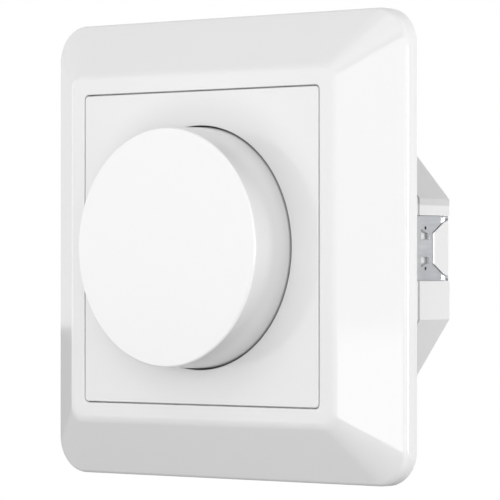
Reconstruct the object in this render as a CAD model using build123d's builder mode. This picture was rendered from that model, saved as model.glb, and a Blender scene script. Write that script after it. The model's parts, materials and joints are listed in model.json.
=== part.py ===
from build123d import *
import math
import os

os.makedirs("parts", exist_ok=True)

# Push-and-turn rotary dimmer for a flush wall box, in millimetres.
# The wall is the plane Y = 0. A height is measured from it towards the room, so it lies at Y = -height.
# A depth is measured from it back into the wall box, so it lies at Y = +depth. +Z is up.

# Cover frame
frame_size = 84.0
frame_height = 10.5
frame_corner_r = 6.5
frame_edge_height = 3.0
frame_wall = 2.0
rim_fillet = 1.4
crease_size = 63.2
crease_corner_r = 2.5
crease_fillet = 2.7
window_size = 56.9
window_corner_r = 1.0
lip_width = 2.0
lip_thickness = 1.5
frame_rib = 1.2
frame_rib_positions = (-27.0, -13.5, 13.5, 27.0)
frame_rib_height = 2.2

# Centre plate
plate_gap = 0.25
plate_thickness = 2.0
plate_edge_round = 0.3
plate_skirt = 1.2
well_wall = 1.5
well_floor = 1.5

# Knob
knob_r = 21.9
knob_draft = 2.5
knob_projection = 9.1
knob_wall = 1.8
knob_edge_round = 0.5
knob_gap = 0.3
knob_floor_gap = 0.8
knob_ribs = 6
knob_rib = 1.2
knob_rib_depth = 2.6
hub_wall = 2.0
hub_slot = 0.8
ring_thickness = 0.6
ring_width = 2.5

# Spindle and its bearing
spindle_r = 3.0
spindle_flat = 0.8
spindle_fit = 0.05
spindle_seat = 6.0
clip_thickness = 0.6
clip_rim = 1.6
push_travel = 1.2
travel_gap = 0.2
turn_half_range = 150.0
turn_reserve = 2.0
bush_r = 5.0
bush_proud = 1.0
bush_flange = 1.2
bush_clearance = 0.2
nut_flats = 14.0
bush_nut_height = 2.0
plate_nut_height = 3.0
washer_r = 8.0
washer_thickness = 0.5

# Support plate and retaining bracket
support_width = 71.0
support_thickness = 1.0
support_corner_r = 4.0
screw_spacing = 60.0
slot_width = 3.6
slot_length = 7.0
level_notch = 3.0
bracket_thickness = 0.8
bracket_width = 28.0
leg_width = 11.9
leg_bend_r = 1.4
leg_tail_kick = 0.25
leg_tail_length = 1.65
leg_jog_length = 0.6
leg_end_gap = 0.2
leg_recess = 0.8
leg_clearance = 0.1
rivet_r = 1.5
rivet_head_r = 2.5
rivet_head = 0.6
rivet_gap = 0.3
rivet_head_taper = 30.0
base_shoulder = 4.2

# Insert housing: its outline from the front is an octagon, longer below the axis than above it
housing_half_width = 25.7
housing_top = 25.0
housing_bottom = 25.5
housing_top_chamfer = 14.7
housing_bottom_chamfer = 9.0
housing_side_top = 9.1
housing_side_bottom = 13.1
housing_depth = 30.5
rear_shell_length = 9.85
housing_front_wall = 2.0
housing_wall = 1.6
housing_draft = 1.2
housing_edge_round = 0.4
groove_width = 0.55
groove_depth = 0.7
leg_wall = 1.3

# Catch that holds the end of each bracket leg
catch_length = 4.4
catch_shoulder_length = 1.4
catch_ramp = 0.5
catch_rise = 0.6
catch_nose_half = 2.75
catch_shoulder_half = 4.7
catch_end_half = 5.2
catch_fit = 0.15

# Windows in each bracket leg, one on each side of a narrow strap
window_from_rear = 7.9
window_length = 2.4
strap_half = 1.6
leg_window_top = 3.4
leg_window_end_top = 2.8
window_cheek = 0.5
window_slope = 1.1
relief_hole_r = 0.3
relief_hole_step = 1.3
relief_hole_offset = 3.7

# Potentiometer and push switch
pot_r = 10.0
pot_wall = 1.4
pot_length = 6.8
pot_back = 1.2
rotor_r = 6.8
rotor_thickness = 2.0
stop_angle = 28.0
stop_gap = 0.3
track_thickness = 0.8
track_width = 3.6
wiper_thickness = 0.3
wiper_contact_r = 0.72
wiper_gap = 0.05
switch_size = 17.0
switch_wall = 1.4
plunger_r = 2.6
plunger_gap = 0.3
plunger_collar_r = 4.4
plunger_collar = 1.2
plunger_stem_r = 1.6
spring_wire_r = 0.25
spring_coil_r = 2.3
spring_pitch = 1.15
bridge_length = 12.0
bridge_width = 3.0
bridge_thickness = 0.5
contact_spacing = 10.0
contact_width = 1.6

# Circuit board and what it carries
board_from_rear = 11.5
board_thickness = 1.6
board_gap = 0.4
post_r = 2.2
post_pin_r = 1.0
post_height = 19.0
post_top_inset = 13.7
post_bottom_inset = 11.2
choke_r = 9.0
choke_bore_r = 3.6
choke_height = 7.0
choke_place = (0.0, 6.5)
winding_turns = 16
winding_wire = 1.0
film_size = (14.0, 6.5, 11.0)
film_place = (0.0, 15.6)
smoothing_r = 4.0
smoothing_height = 11.0
smoothing_inset = 10.2
smoothing_z = 11.5
transistor_size = (4.5, 9.6, 9.0)
transistor_leg = 0.8
transistor_offset = 5.2
spreader_thickness = 1.5
spreader_size = (21.0, 13.0)
spreader_z = -2.0
fuse_r = 2.5
fuse_length = 20.0
fuse_cap_length = 5.0
fuse_cap_wall = 0.3
fuse_z = -14.6
varistor_r = 4.6
varistor_thickness = 3.4
varistor_inset = 8.2
varistor_z = -2.0
lead_r = 0.4
chip_size = (5.0, 6.0, 1.6)
chip_inset = 11.7
chip_z = 6.0
chip_taper = 5.0

# Terminals
terminal_count = 3
terminal_pitch = 10.0
terminal_z = -19.8
cage_size = (6.4, 7.0, 6.4)
cage_wall = 1.2
wire_hole_r = 2.1
screw_r = 1.75
screw_head_r = 2.5
screw_head = 1.5
screw_access_gap = 0.4
partition = 1.2
vent_count = 5
vent_width = 1.5
vent_length = 9.0
vent_pitch = 4.0
vent_z = 9.0

# How far a cut reaches past the solid, and how near an edge must lie to a plane to be picked
cut_margin = 1.0
pick_margin = 0.01

# Places that follow from the sizes above
rivet_offset = washer_r + rivet_head_r + rivet_gap
washer_front = support_thickness + washer_thickness
bush_nut_front = washer_front + bush_nut_height
well_front = bush_nut_front + well_floor
plate_nut_front = well_front + plate_nut_height
bush_front = plate_nut_front + bush_proud
plate_size = window_size - 2 * plate_gap
plate_back = frame_height - plate_thickness
lip_back = plate_back - lip_thickness
lip_opening = window_size - 2 * lip_width
well_r = knob_r + knob_gap
knob_back = well_front + push_travel + knob_floor_gap
knob_front = frame_height + knob_projection
knob_top_r = knob_r - (knob_front - knob_back) * math.tan(math.radians(knob_draft))
hub_r = spindle_r + hub_wall
hub_back = bush_front + push_travel + knob_floor_gap
spindle_front = hub_back + spindle_seat
pot_front = bracket_thickness + housing_front_wall + bush_flange
pot_floor = pot_front + pot_length - pot_back
pot_rear = pot_front + pot_length
rotor_front = pot_front + clip_thickness + push_travel + travel_gap
rotor_back = rotor_front + rotor_thickness
track_front = pot_floor - track_thickness
spindle_end = track_front + travel_gap
collar_front = pot_rear + switch_wall
collar_back = collar_front + plunger_collar
leg_outer = housing_half_width - leg_recess
leg_inner = leg_outer - bracket_thickness
housing_top_half = housing_half_width - housing_top_chamfer
housing_bottom_half = housing_half_width - housing_bottom_chamfer
housing_parting = housing_depth - rear_shell_length
catch_start = housing_depth - catch_length
catch_shoulder = housing_depth - catch_shoulder_length
window_start = housing_depth - window_from_rear
relief_hole_depth = window_start + relief_hole_step
board_depth = housing_depth - board_from_rear
board_back = board_depth + board_thickness
stem_back = (collar_back + board_depth - push_travel) / 2
rear_wall_front = housing_depth - housing_wall
spreader_x = leg_inner - leg_wall - spreader_thickness - board_gap
top_post_x = housing_half_width - post_top_inset
bottom_post_x = housing_half_width - post_bottom_inset
post_places = (
    (-top_post_x, post_height),
    (top_post_x, post_height),
    (-bottom_post_x, -post_height),
    (bottom_post_x, -post_height),
)
smoothing_place = (smoothing_inset - housing_half_width, smoothing_z)
varistor_x = varistor_inset - housing_half_width
chip_place = (housing_half_width - chip_inset, chip_z)

# Half-section plane for turned pieces: the first coordinate is the radius, the second the height
SECTION = Plane(origin=(0, 0, 0), x_dir=(1, 0, 0), z_dir=(0, 0, -1))


def at_height(height):
    """Plane parallel to the wall at this height, facing the room."""
    return Plane.XZ.offset(height)


def at_depth(depth):
    """Plane parallel to the wall at this depth, facing the room."""
    return Plane.XZ.offset(-depth)


def octagon(inset=0.0):
    """Outline of the insert housing, drawn this far inside its largest outline."""
    points = [
        (housing_half_width, -housing_side_bottom),
        (housing_half_width, housing_side_top),
        (housing_top_half, housing_top),
        (-housing_top_half, housing_top),
        (-housing_half_width, housing_side_top),
        (-housing_half_width, -housing_side_bottom),
        (-housing_bottom_half, -housing_bottom),
        (housing_bottom_half, -housing_bottom),
    ]
    with BuildSketch() as outline:
        Polygon(*points, align=None)
        if inset > 0:
            offset(amount=-inset, kind=Kind.INTERSECTION, mode=Mode.REPLACE)
    return outline.sketch


def catch_outline(margin=0.0):
    """Catch seen from the side: depth along the first axis, Z along the second."""
    return [
        (catch_start - margin, -catch_nose_half - margin),
        (catch_start - margin, catch_nose_half + margin),
        (catch_shoulder - margin, catch_shoulder_half + margin),
        (housing_depth + margin, catch_end_half + margin),
        (housing_depth + margin, -catch_end_half - margin),
        (catch_shoulder - margin, -catch_shoulder_half - margin),
    ]


# Cover frame: a bevelled moulding with a rebated window, ribbed behind
bevel_angle = math.atan2(frame_height - frame_edge_height, (frame_size - crease_size) / 2)
inner_size = frame_size - 2 * frame_wall
inner_edge_height = frame_edge_height - frame_wall * math.tan((math.pi / 2 - bevel_angle) / 2)
inner_crease_size = crease_size - 2 * frame_wall * math.tan(bevel_angle / 2)
inner_height = frame_height - frame_wall

with BuildPart() as frame_cavity:
    with BuildSketch(at_height(0)):
        RectangleRounded(inner_size, inner_size, frame_corner_r - frame_wall)
    extrude(amount=inner_edge_height)
    with BuildSketch(at_height(inner_edge_height)):
        RectangleRounded(inner_size, inner_size, frame_corner_r - frame_wall)
    with BuildSketch(at_height(inner_height)):
        RectangleRounded(inner_crease_size, inner_crease_size, crease_corner_r)
    loft()
    with BuildSketch(at_height(lip_back)):
        Rectangle(window_size + 2 * lip_thickness, window_size + 2 * lip_thickness)
    extrude(amount=frame_height, mode=Mode.SUBTRACT)
    with BuildSketch(at_height(frame_rib_height)):
        for place in frame_rib_positions:
            with Locations((place, 0)):
                Rectangle(frame_rib, frame_size)
            with Locations((0, place)):
                Rectangle(frame_size, frame_rib)
    extrude(amount=frame_height, mode=Mode.SUBTRACT)

with BuildPart() as cover_frame:
    with BuildSketch(at_height(0)):
        RectangleRounded(frame_size, frame_size, frame_corner_r)
    extrude(amount=frame_edge_height)
    with BuildSketch(at_height(frame_edge_height)):
        RectangleRounded(frame_size, frame_size, frame_corner_r)
    with BuildSketch(at_height(frame_height)):
        RectangleRounded(crease_size, crease_size, crease_corner_r)
    loft()
    crease = cover_frame.faces().sort_by(Axis.Y)[0].edges()
    fillet(crease, crease_fillet)
    rim_low = -frame_edge_height - pick_margin
    rim_high = -frame_edge_height + pick_margin
    rim = cover_frame.edges().filter_by_position(Axis.Y, rim_low, rim_high)
    fillet(rim, rim_fillet)
    add(frame_cavity.part, mode=Mode.SUBTRACT)
    with BuildSketch(at_height(0)):
        RectangleRounded(lip_opening, lip_opening, window_corner_r)
    extrude(amount=frame_height, mode=Mode.SUBTRACT)
    with BuildSketch(at_height(plate_back)):
        RectangleRounded(window_size, window_size, window_corner_r)
    extrude(amount=plate_thickness, mode=Mode.SUBTRACT)
cover_frame.part.label = "cover_frame"
export_step(cover_frame.part, "parts/cover_frame.step")

# Centre plate: a square plate with the knob's well moulded behind it, clamped at the bush
with BuildPart() as centre_plate:
    with BuildSketch(at_height(plate_back)):
        RectangleRounded(plate_size, plate_size, window_corner_r - plate_gap)
    extrude(amount=plate_thickness)
    front_edges = centre_plate.faces().sort_by(Axis.Y)[0].edges()
    fillet(front_edges, plate_edge_round)
    skirt_outer = lip_opening - 2 * plate_gap
    with BuildSketch(at_height(lip_back)):
        RectangleRounded(skirt_outer, skirt_outer, window_corner_r)
        Rectangle(skirt_outer - 2 * plate_skirt, skirt_outer - 2 * plate_skirt, mode=Mode.SUBTRACT)
        with PolarLocations(0, 2, start_angle=45, angular_range=180):
            Rectangle(skirt_outer * math.sqrt(2) - 4 * plate_skirt, plate_skirt)
    extrude(amount=lip_thickness + plate_thickness / 2)
    with BuildSketch(at_height(bush_nut_front)):
        Circle(well_r + well_wall)
    extrude(amount=frame_height - bush_nut_front - plate_thickness / 2)
    with BuildSketch(at_height(well_front)):
        Circle(well_r)
    extrude(amount=frame_height, mode=Mode.SUBTRACT)
    with BuildSketch(at_height(bush_nut_front)):
        Circle(bush_r + bush_clearance)
    extrude(amount=well_floor, mode=Mode.SUBTRACT)
    well_edge = centre_plate.edges().filter_by(GeomType.CIRCLE).sort_by(Axis.Y)[0]
    fillet(well_edge, plate_edge_round)
centre_plate.part.label = "centre_plate"
export_step(centre_plate.part, "parts/centre_plate.step")

# Knob: a drafted cup with a slotted hub that grips the spindle, and ribs between hub and wall
knob_slope = math.tan(math.radians(knob_draft))
knob_roof = knob_front - knob_wall
with BuildPart() as knob:
    with BuildSketch(SECTION):
        Polygon(
            (0, knob_front),
            (knob_top_r, knob_front),
            (knob_r, knob_back),
            (knob_r - knob_wall, knob_back),
            (knob_top_r + knob_wall * knob_slope - knob_wall, knob_roof),
            (hub_r, knob_roof),
            (hub_r, hub_back),
            (0, hub_back),
            align=None,
        )
    revolve(axis=Axis.Y)
    face_edge = knob.edges().filter_by(GeomType.CIRCLE).sort_by(Axis.Y)[0]
    fillet(face_edge, knob_edge_round)
    with BuildSketch(at_height(knob_roof - knob_rib_depth)):
        rib_length = knob_top_r - knob_wall / 2 - hub_r + knob_wall / 4
        with PolarLocations(hub_r - knob_wall / 4 + rib_length / 2, knob_ribs):
            Rectangle(rib_length, knob_rib)
    extrude(amount=knob_rib_depth + knob_wall / 2)
    with BuildSketch(at_height(hub_back)):
        Circle(spindle_r)
        with Locations((0, 2 * spindle_r - spindle_flat)):
            Rectangle(2 * spindle_r, 2 * spindle_r, mode=Mode.SUBTRACT)
    extrude(amount=spindle_seat, mode=Mode.SUBTRACT)
    with BuildSketch(at_height(hub_back)):
        Rectangle(2 * hub_r + hub_slot, hub_slot)
    extrude(amount=ring_width + hub_slot, mode=Mode.SUBTRACT)
knob.part.label = "knob"
export_step(knob.part, "parts/knob.step")

# Spring ring round the slotted hub, open on one side
with BuildPart() as knob_spring_ring:
    with BuildSketch(at_height(hub_back)):
        Circle(hub_r + ring_thickness)
        Circle(hub_r, mode=Mode.SUBTRACT)
        with Locations((0, -hub_r)):
            Rectangle(hub_r, hub_r, mode=Mode.SUBTRACT)
    extrude(amount=ring_width)
knob_spring_ring.part.label = "knob_spring_ring"
export_step(knob_spring_ring.part, "parts/knob_spring_ring.step")

# Spindle: round in the bush, flatted where the knob and the rotor grip it, with a groove for its clip
groove_r = spindle_r - clip_thickness
with BuildPart() as spindle:
    with BuildSketch(SECTION):
        Polygon(
            (0, spindle_front),
            (spindle_r, spindle_front),
            (spindle_r, -pot_front),
            (groove_r, -pot_front),
            (groove_r, -pot_front - clip_thickness),
            (spindle_r, -pot_front - clip_thickness),
            (spindle_r, -spindle_end),
            (0, -spindle_end),
            align=None,
        )
    revolve(axis=Axis.Y)
    with BuildSketch(at_height(hub_back)):
        with Locations((0, 2 * spindle_r - spindle_flat)):
            Rectangle(2 * spindle_r, 2 * spindle_r)
    extrude(amount=spindle_seat, mode=Mode.SUBTRACT)
    with BuildSketch(at_depth(pot_front + clip_thickness)):
        with Locations((0, 2 * spindle_r - spindle_flat)):
            Rectangle(2 * spindle_r, 2 * spindle_r)
    extrude(amount=-spindle_end, mode=Mode.SUBTRACT)
spindle.part.label = "spindle"
export_step(spindle.part, "parts/spindle.step")

# Retaining clip in the spindle's groove: it stops against the bush
with BuildPart() as spindle_clip:
    with BuildSketch(at_depth(pot_front + spindle_fit)):
        Circle(groove_r + clip_rim)
        Circle(groove_r, mode=Mode.SUBTRACT)
        with Locations((0, -groove_r)):
            Rectangle(groove_r, 2 * groove_r, mode=Mode.SUBTRACT)
    extrude(amount=-(clip_thickness - spindle_fit))
spindle_clip.part.label = "spindle_clip"
export_step(spindle_clip.part, "parts/spindle_clip.step")

# Threaded bush: a tube through plate and bracket, with a flange that closes the potentiometer
flange_front = pot_front - bush_flange
with BuildPart() as threaded_bush:
    with BuildSketch(SECTION):
        Polygon(
            (spindle_r + spindle_fit, bush_front),
            (bush_r - spindle_flat, bush_front),
            (bush_r, bush_front - spindle_flat),
            (bush_r, -flange_front),
            (pot_r, -flange_front),
            (pot_r, -pot_front),
            (spindle_r + spindle_fit, -pot_front),
            align=None,
        )
    revolve(axis=Axis.Y)
threaded_bush.part.label = "threaded_bush"
export_step(threaded_bush.part, "parts/threaded_bush.step")

# Tab washer under the bush's nut
with BuildPart() as bush_washer:
    with BuildSketch(at_height(support_thickness)):
        Circle(washer_r)
        Circle(bush_r, mode=Mode.SUBTRACT)
    extrude(amount=washer_thickness)
bush_washer.part.label = "bush_washer"
export_step(bush_washer.part, "parts/bush_washer.step")

# Hexagon nut that clamps the bush to the support plate
with BuildPart() as bush_nut:
    with BuildSketch(at_height(washer_front)):
        RegularPolygon(nut_flats / 2, 6, major_radius=False)
        Circle(bush_r, mode=Mode.SUBTRACT)
    extrude(amount=bush_nut_height)
bush_nut.part.label = "bush_nut"
export_step(bush_nut.part, "parts/bush_nut.step")

# Hexagon nut that clamps the centre plate
with BuildPart() as centre_plate_nut:
    with BuildSketch(at_height(well_front)):
        RegularPolygon(nut_flats / 2, 6, major_radius=False)
        Circle(bush_r, mode=Mode.SUBTRACT)
    extrude(amount=plate_nut_height)
centre_plate_nut.part.label = "centre_plate_nut"
export_step(centre_plate_nut.part, "parts/centre_plate_nut.step")

# Support plate: sheet steel on the wall, with a slot on each side for the wall box's screws
with BuildPart() as support_plate:
    with BuildSketch(at_height(0)):
        RectangleRounded(support_width, support_width, support_corner_r)
        Circle(bush_r + bush_clearance, mode=Mode.SUBTRACT)
        with Locations((-screw_spacing / 2, 0), (screw_spacing / 2, 0)):
            SlotOverall(slot_length, slot_width, mode=Mode.SUBTRACT)
        with Locations((0, -screw_spacing / 2), (0, screw_spacing / 2)):
            SlotOverall(slot_length, slot_width, rotation=90, mode=Mode.SUBTRACT)
        with Locations((0, -rivet_offset), (0, rivet_offset)):
            Circle(rivet_r, mode=Mode.SUBTRACT)
        with PolarLocations(support_width / 2, 4):
            RegularPolygon(level_notch / 2, 4, rotation=45, mode=Mode.SUBTRACT)
    extrude(amount=support_thickness)
support_plate.part.label = "support_plate"
export_step(support_plate.part, "parts/support_plate.step")

# Retaining bracket: a folded strip whose base lies behind the plate and whose legs hold the housing.
# Its middle line is drawn from above, and the leg's windows and its fork round the catch from the side.
leg_middle = leg_inner + bracket_thickness / 2
leg_end = housing_depth - leg_end_gap
tail_start = leg_end - leg_tail_length
with BuildPart() as retaining_bracket:
    with BuildSketch(Plane.XY):
        with BuildLine():
            FilletPolyline(
                (leg_middle + leg_tail_kick, leg_end),
                (leg_middle + leg_tail_kick, tail_start + leg_jog_length),
                (leg_middle, tail_start),
                (leg_middle, bracket_thickness / 2),
                (-leg_middle, bracket_thickness / 2),
                (-leg_middle, tail_start),
                (-leg_middle - leg_tail_kick, tail_start + leg_jog_length),
                (-leg_middle - leg_tail_kick, leg_end),
                radius=leg_bend_r,
            )
        trace(line_width=bracket_thickness)
    extrude(amount=leg_width / 2, both=True)
    with BuildSketch(at_depth(0)):
        Rectangle(2 * (leg_middle - base_shoulder), bracket_width)
    extrude(amount=-bracket_thickness)
    with BuildSketch(at_depth(0)):
        Circle(bush_r + bush_clearance)
        with Locations((0, -rivet_offset), (0, rivet_offset)):
            Circle(rivet_r)
    extrude(amount=-bracket_thickness, mode=Mode.SUBTRACT)
    with BuildSketch(Plane.YZ):
        Polygon(*catch_outline(catch_fit), align=None)
        for side in (-1, 1):
            Polygon(
                (window_start, side * strap_half),
                (window_start, side * leg_window_top),
                (window_start + window_cheek, side * leg_window_top),
                (window_start + window_cheek + window_slope, side * leg_window_end_top),
                (window_start + window_length, side * leg_window_end_top),
                (window_start + window_length, side * strap_half),
                align=None,
            )
            with Locations((relief_hole_depth, side * relief_hole_offset)):
                Circle(relief_hole_r)
    extrude(amount=housing_half_width, both=True, mode=Mode.SUBTRACT)
retaining_bracket.part.label = "retaining_bracket"
export_step(retaining_bracket.part, "parts/retaining_bracket.step")

# Rivets that join bracket and support plate
with BuildPart() as bracket_rivets:
    with BuildSketch(at_height(support_thickness)):
        with Locations((0, -rivet_offset), (0, rivet_offset)):
            Circle(rivet_head_r)
    extrude(amount=rivet_head, taper=rivet_head_taper)
    with BuildSketch(at_height(support_thickness)):
        with Locations((0, -rivet_offset), (0, rivet_offset)):
            Circle(rivet_r)
    extrude(amount=-support_thickness - bracket_thickness)
    with BuildSketch(at_depth(bracket_thickness)):
        with Locations((0, -rivet_offset), (0, rivet_offset)):
            Circle(rivet_head_r)
    extrude(amount=-rivet_head, taper=rivet_head_taper)
bracket_rivets.part.label = "bracket_rivets"
export_step(bracket_rivets.part, "parts/bracket_rivets.step")

# Recess for the bracket's legs, cut through both shells of the housing
recess_floor = leg_inner - leg_clearance / 2
recess_half = leg_width / 2 + leg_clearance / 2
with BuildPart() as leg_recesses:
    with BuildSketch(Plane.XY):
        for side in (-1, 1):
            Polygon(
                (side * (recess_floor - leg_bend_r), bracket_thickness),
                (side * recess_floor, bracket_thickness + leg_bend_r),
                (side * recess_floor, housing_depth),
                (side * (housing_half_width + cut_margin), housing_depth),
                (side * (housing_half_width + cut_margin), 0),
                (side * (recess_floor - leg_bend_r), 0),
                align=None,
            )
    extrude(amount=recess_half, both=True)

# Wall left behind each recess
with BuildPart() as leg_walls:
    with BuildSketch(at_depth(bracket_thickness)):
        for side in (-1, 1):
            with Locations((side * (recess_floor - leg_wall), 0)):
                wall_align = Align.MIN if side > 0 else Align.MAX
                Rectangle(
                    housing_half_width,
                    2 * (recess_half + leg_wall),
                    align=(wall_align, Align.CENTER),
                )
    extrude(amount=-(housing_depth - bracket_thickness))

# Front shell of the housing: a cup open at the back, with posts for the board
with BuildPart() as housing_front:
    with BuildSketch(at_depth(bracket_thickness)):
        add(octagon())
    extrude(amount=-(housing_parting - bracket_thickness))
    with BuildSketch(at_depth(bracket_thickness + housing_front_wall)):
        add(octagon(housing_wall))
    extrude(amount=-housing_parting, mode=Mode.SUBTRACT)
    with BuildSketch(at_depth(bracket_thickness + housing_front_wall)):
        with Locations(post_places):
            Circle(post_r)
    extrude(amount=-(board_depth - bracket_thickness - housing_front_wall))
    with BuildSketch(at_depth(board_depth)):
        with Locations(post_places):
            Circle(post_pin_r)
    extrude(amount=-board_thickness)
    wall_blocks = leg_walls.part & Pos(0, housing_parting / 2, 0) * Box(
        2 * housing_half_width, housing_parting, 2 * housing_top, mode=Mode.PRIVATE
    )
    add(wall_blocks)
    add(leg_recesses.part, mode=Mode.SUBTRACT)
    with BuildSketch(at_depth(bracket_thickness)):
        Circle(bush_r + bush_clearance)
    extrude(amount=-housing_front_wall, mode=Mode.SUBTRACT)
    with BuildSketch(at_depth(bracket_thickness)):
        with Locations((0, -rivet_offset), (0, rivet_offset)):
            Circle(rivet_head_r + bush_clearance)
    extrude(amount=-(rivet_head + bush_clearance), mode=Mode.SUBTRACT)
housing_front.part.label = "housing_front"
export_step(housing_front.part, "parts/housing_front.step")

# Rear shell: drafted, grooved at the parting line, with catches, vents, wire holes and screw holes
terminal_places = [
    ((index - (terminal_count - 1) / 2) * terminal_pitch, terminal_z) for index in range(terminal_count)
]
cage_depth = board_back + cage_size[2] / 2
screw_z = terminal_z - cage_size[1] / 2

with BuildPart() as catches:
    with BuildSketch(Plane.XY):
        for side in (-1, 1):
            Polygon(
                (side * (recess_floor - leg_wall), catch_start),
                (side * leg_outer, catch_start),
                (side * (leg_outer + catch_rise), catch_start + catch_ramp),
                (side * (leg_outer + catch_rise), housing_depth),
                (side * (recess_floor - leg_wall), housing_depth),
                align=None,
            )
    extrude(amount=catch_end_half, both=True)
    with BuildSketch(Plane.YZ):
        Polygon(*catch_outline(), align=None)
    extrude(amount=housing_half_width, both=True, mode=Mode.INTERSECT)

with BuildPart() as housing_rear:
    with BuildSketch(at_depth(housing_parting)):
        add(octagon())
    extrude(amount=-(housing_depth - housing_parting), taper=housing_draft)
    rear_low = housing_depth - pick_margin
    rear_high = housing_depth + pick_margin
    rear_edges = housing_rear.edges().filter_by_position(Axis.Y, rear_low, rear_high)
    fillet(rear_edges, housing_edge_round)
    with BuildSketch(at_depth(housing_parting)):
        add(octagon())
        add(octagon(groove_depth), mode=Mode.SUBTRACT)
    extrude(amount=-groove_width, mode=Mode.SUBTRACT)
    with BuildSketch(at_depth(housing_parting)):
        add(octagon(housing_wall))
    extrude(amount=-(rear_wall_front - housing_parting), mode=Mode.SUBTRACT)
    wall_blocks = leg_walls.part & Pos(0, (housing_parting + housing_depth) / 2, 0) * Box(
        2 * housing_half_width - 2 * leg_recess,
        housing_depth - housing_parting,
        2 * housing_top,
        mode=Mode.PRIVATE,
    )
    add(wall_blocks)
    add(leg_recesses.part, mode=Mode.SUBTRACT)
    add(catches.part)
    with BuildSketch(at_depth(rear_wall_front)):
        for index in range(terminal_count + 1):
            with Locations(((index - terminal_count / 2) * terminal_pitch, terminal_z)):
                Rectangle(partition, cage_size[1])
    extrude(amount=rear_wall_front - board_back - board_gap)
    with BuildSketch(at_depth(rear_wall_front)):
        with Locations(terminal_places):
            Circle(wire_hole_r)
    extrude(amount=-housing_wall, mode=Mode.SUBTRACT)
    with BuildSketch(at_depth(rear_wall_front)):
        for index in range(vent_count):
            with Locations(((index - (vent_count - 1) / 2) * vent_pitch, vent_z)):
                SlotOverall(vent_length, vent_width, rotation=90)
    extrude(amount=-housing_wall, mode=Mode.SUBTRACT)
    with BuildSketch(Plane.XY.offset(-housing_bottom)):
        for place in terminal_places:
            with Locations((place[0], cage_depth)):
                Circle(screw_head_r + screw_access_gap)
    extrude(amount=housing_bottom + screw_z, mode=Mode.SUBTRACT)
housing_rear.part.label = "housing_rear"
export_step(housing_rear.part, "parts/housing_rear.step")

# Circuit board: it sits on the posts, notched for the walls behind the legs
with BuildPart() as circuit_board:
    with BuildSketch(at_depth(board_depth)):
        add(octagon(housing_wall + board_gap))
        notch_half = recess_half + leg_wall + board_gap
        for side in (-1, 1):
            with Locations((side * (housing_half_width + recess_floor - leg_wall - board_gap), 0)):
                Rectangle(2 * housing_half_width, 2 * notch_half, mode=Mode.SUBTRACT)
        with Locations(post_places):
            Circle(post_pin_r, mode=Mode.SUBTRACT)
    extrude(amount=-board_thickness)
circuit_board.part.label = "circuit_board"
export_step(circuit_board.part, "parts/circuit_board.step")

# Potentiometer case: a cup behind the bush's flange, with the fixed stop inside
stop_inner_r = rotor_r + stop_gap
rotor_tab_r = pot_r - pot_wall - stop_gap
fixed_stop_angle = 2 * (180.0 - turn_half_range - turn_reserve) - stop_angle


def sector(radius, span, middle):
    """Circular sector of this radius, spanning this angle about its middle direction, in degrees."""
    start = middle - span / 2
    with BuildSketch() as wedge:
        with BuildLine():
            rim_arc = CenterArc((0, 0), radius, start, span)
            Line((0, 0), rim_arc @ 0)
            Line(rim_arc @ 1, (0, 0))
        make_face()
    return wedge.sketch


with BuildPart() as pot_case:
    with BuildSketch(at_depth(pot_front)):
        Circle(pot_r)
    extrude(amount=-pot_length)
    with BuildSketch(at_depth(pot_front)):
        Circle(pot_r - pot_wall)
    extrude(amount=-(pot_length - pot_back), mode=Mode.SUBTRACT)
    with BuildSketch(at_depth(rotor_front)):
        add(sector(pot_r - pot_wall / 2, fixed_stop_angle, -90))
        Circle(stop_inner_r, mode=Mode.SUBTRACT)
    extrude(amount=-rotor_thickness)
    with BuildSketch(at_depth(pot_floor)):
        Circle(spindle_r + plunger_gap)
    extrude(amount=-pot_back, mode=Mode.SUBTRACT)
pot_case.part.label = "pot_case"
export_step(pot_case.part, "parts/pot_case.step")

# Resistor track: a printed ring on the floor of the case
track_r = pot_r - pot_wall
with BuildPart() as pot_track:
    with BuildSketch(at_depth(track_front)):
        Circle(track_r)
        Circle(track_r - track_width, mode=Mode.SUBTRACT)
    extrude(amount=-track_thickness)
pot_track.part.label = "pot_track"
export_step(pot_track.part, "parts/pot_track.step")

# Rotor: it turns with the spindle, which slides through it, and its tab meets the fixed stop
with BuildPart() as pot_rotor:
    with BuildSketch(at_depth(rotor_front)):
        add(sector(rotor_tab_r, stop_angle, 90))
        Circle(rotor_r)
        Circle(spindle_r + spindle_fit, mode=Mode.SUBTRACT)
    extrude(amount=-rotor_thickness)
    with BuildSketch(at_depth(rotor_front)):
        with Locations((0, spindle_r - spindle_flat + spindle_fit)):
            Rectangle(2 * spindle_r, spindle_r, align=(Align.CENTER, Align.MIN))
    extrude(amount=-rotor_thickness)
pot_rotor.part.label = "pot_rotor"
export_step(pot_rotor.part, "parts/pot_rotor.step")

# Wiper: a sprung leaf on the rotor with a contact that runs on the track
with BuildPart() as pot_wiper:
    with BuildSketch(at_depth(rotor_back)):
        add(sector(rotor_r, 2 * stop_angle, 90))
        Circle(rotor_r - track_width / 2, mode=Mode.SUBTRACT)
    extrude(amount=-wiper_thickness)
    with BuildSketch(at_depth(rotor_back + wiper_thickness)):
        with Locations((0, rotor_r - track_width / 4)):
            Circle(wiper_contact_r)
    extrude(amount=-(track_front - rotor_back - wiper_thickness - wiper_gap))
pot_wiper.part.label = "pot_wiper"
export_step(pot_wiper.part, "parts/pot_wiper.step")

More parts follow.
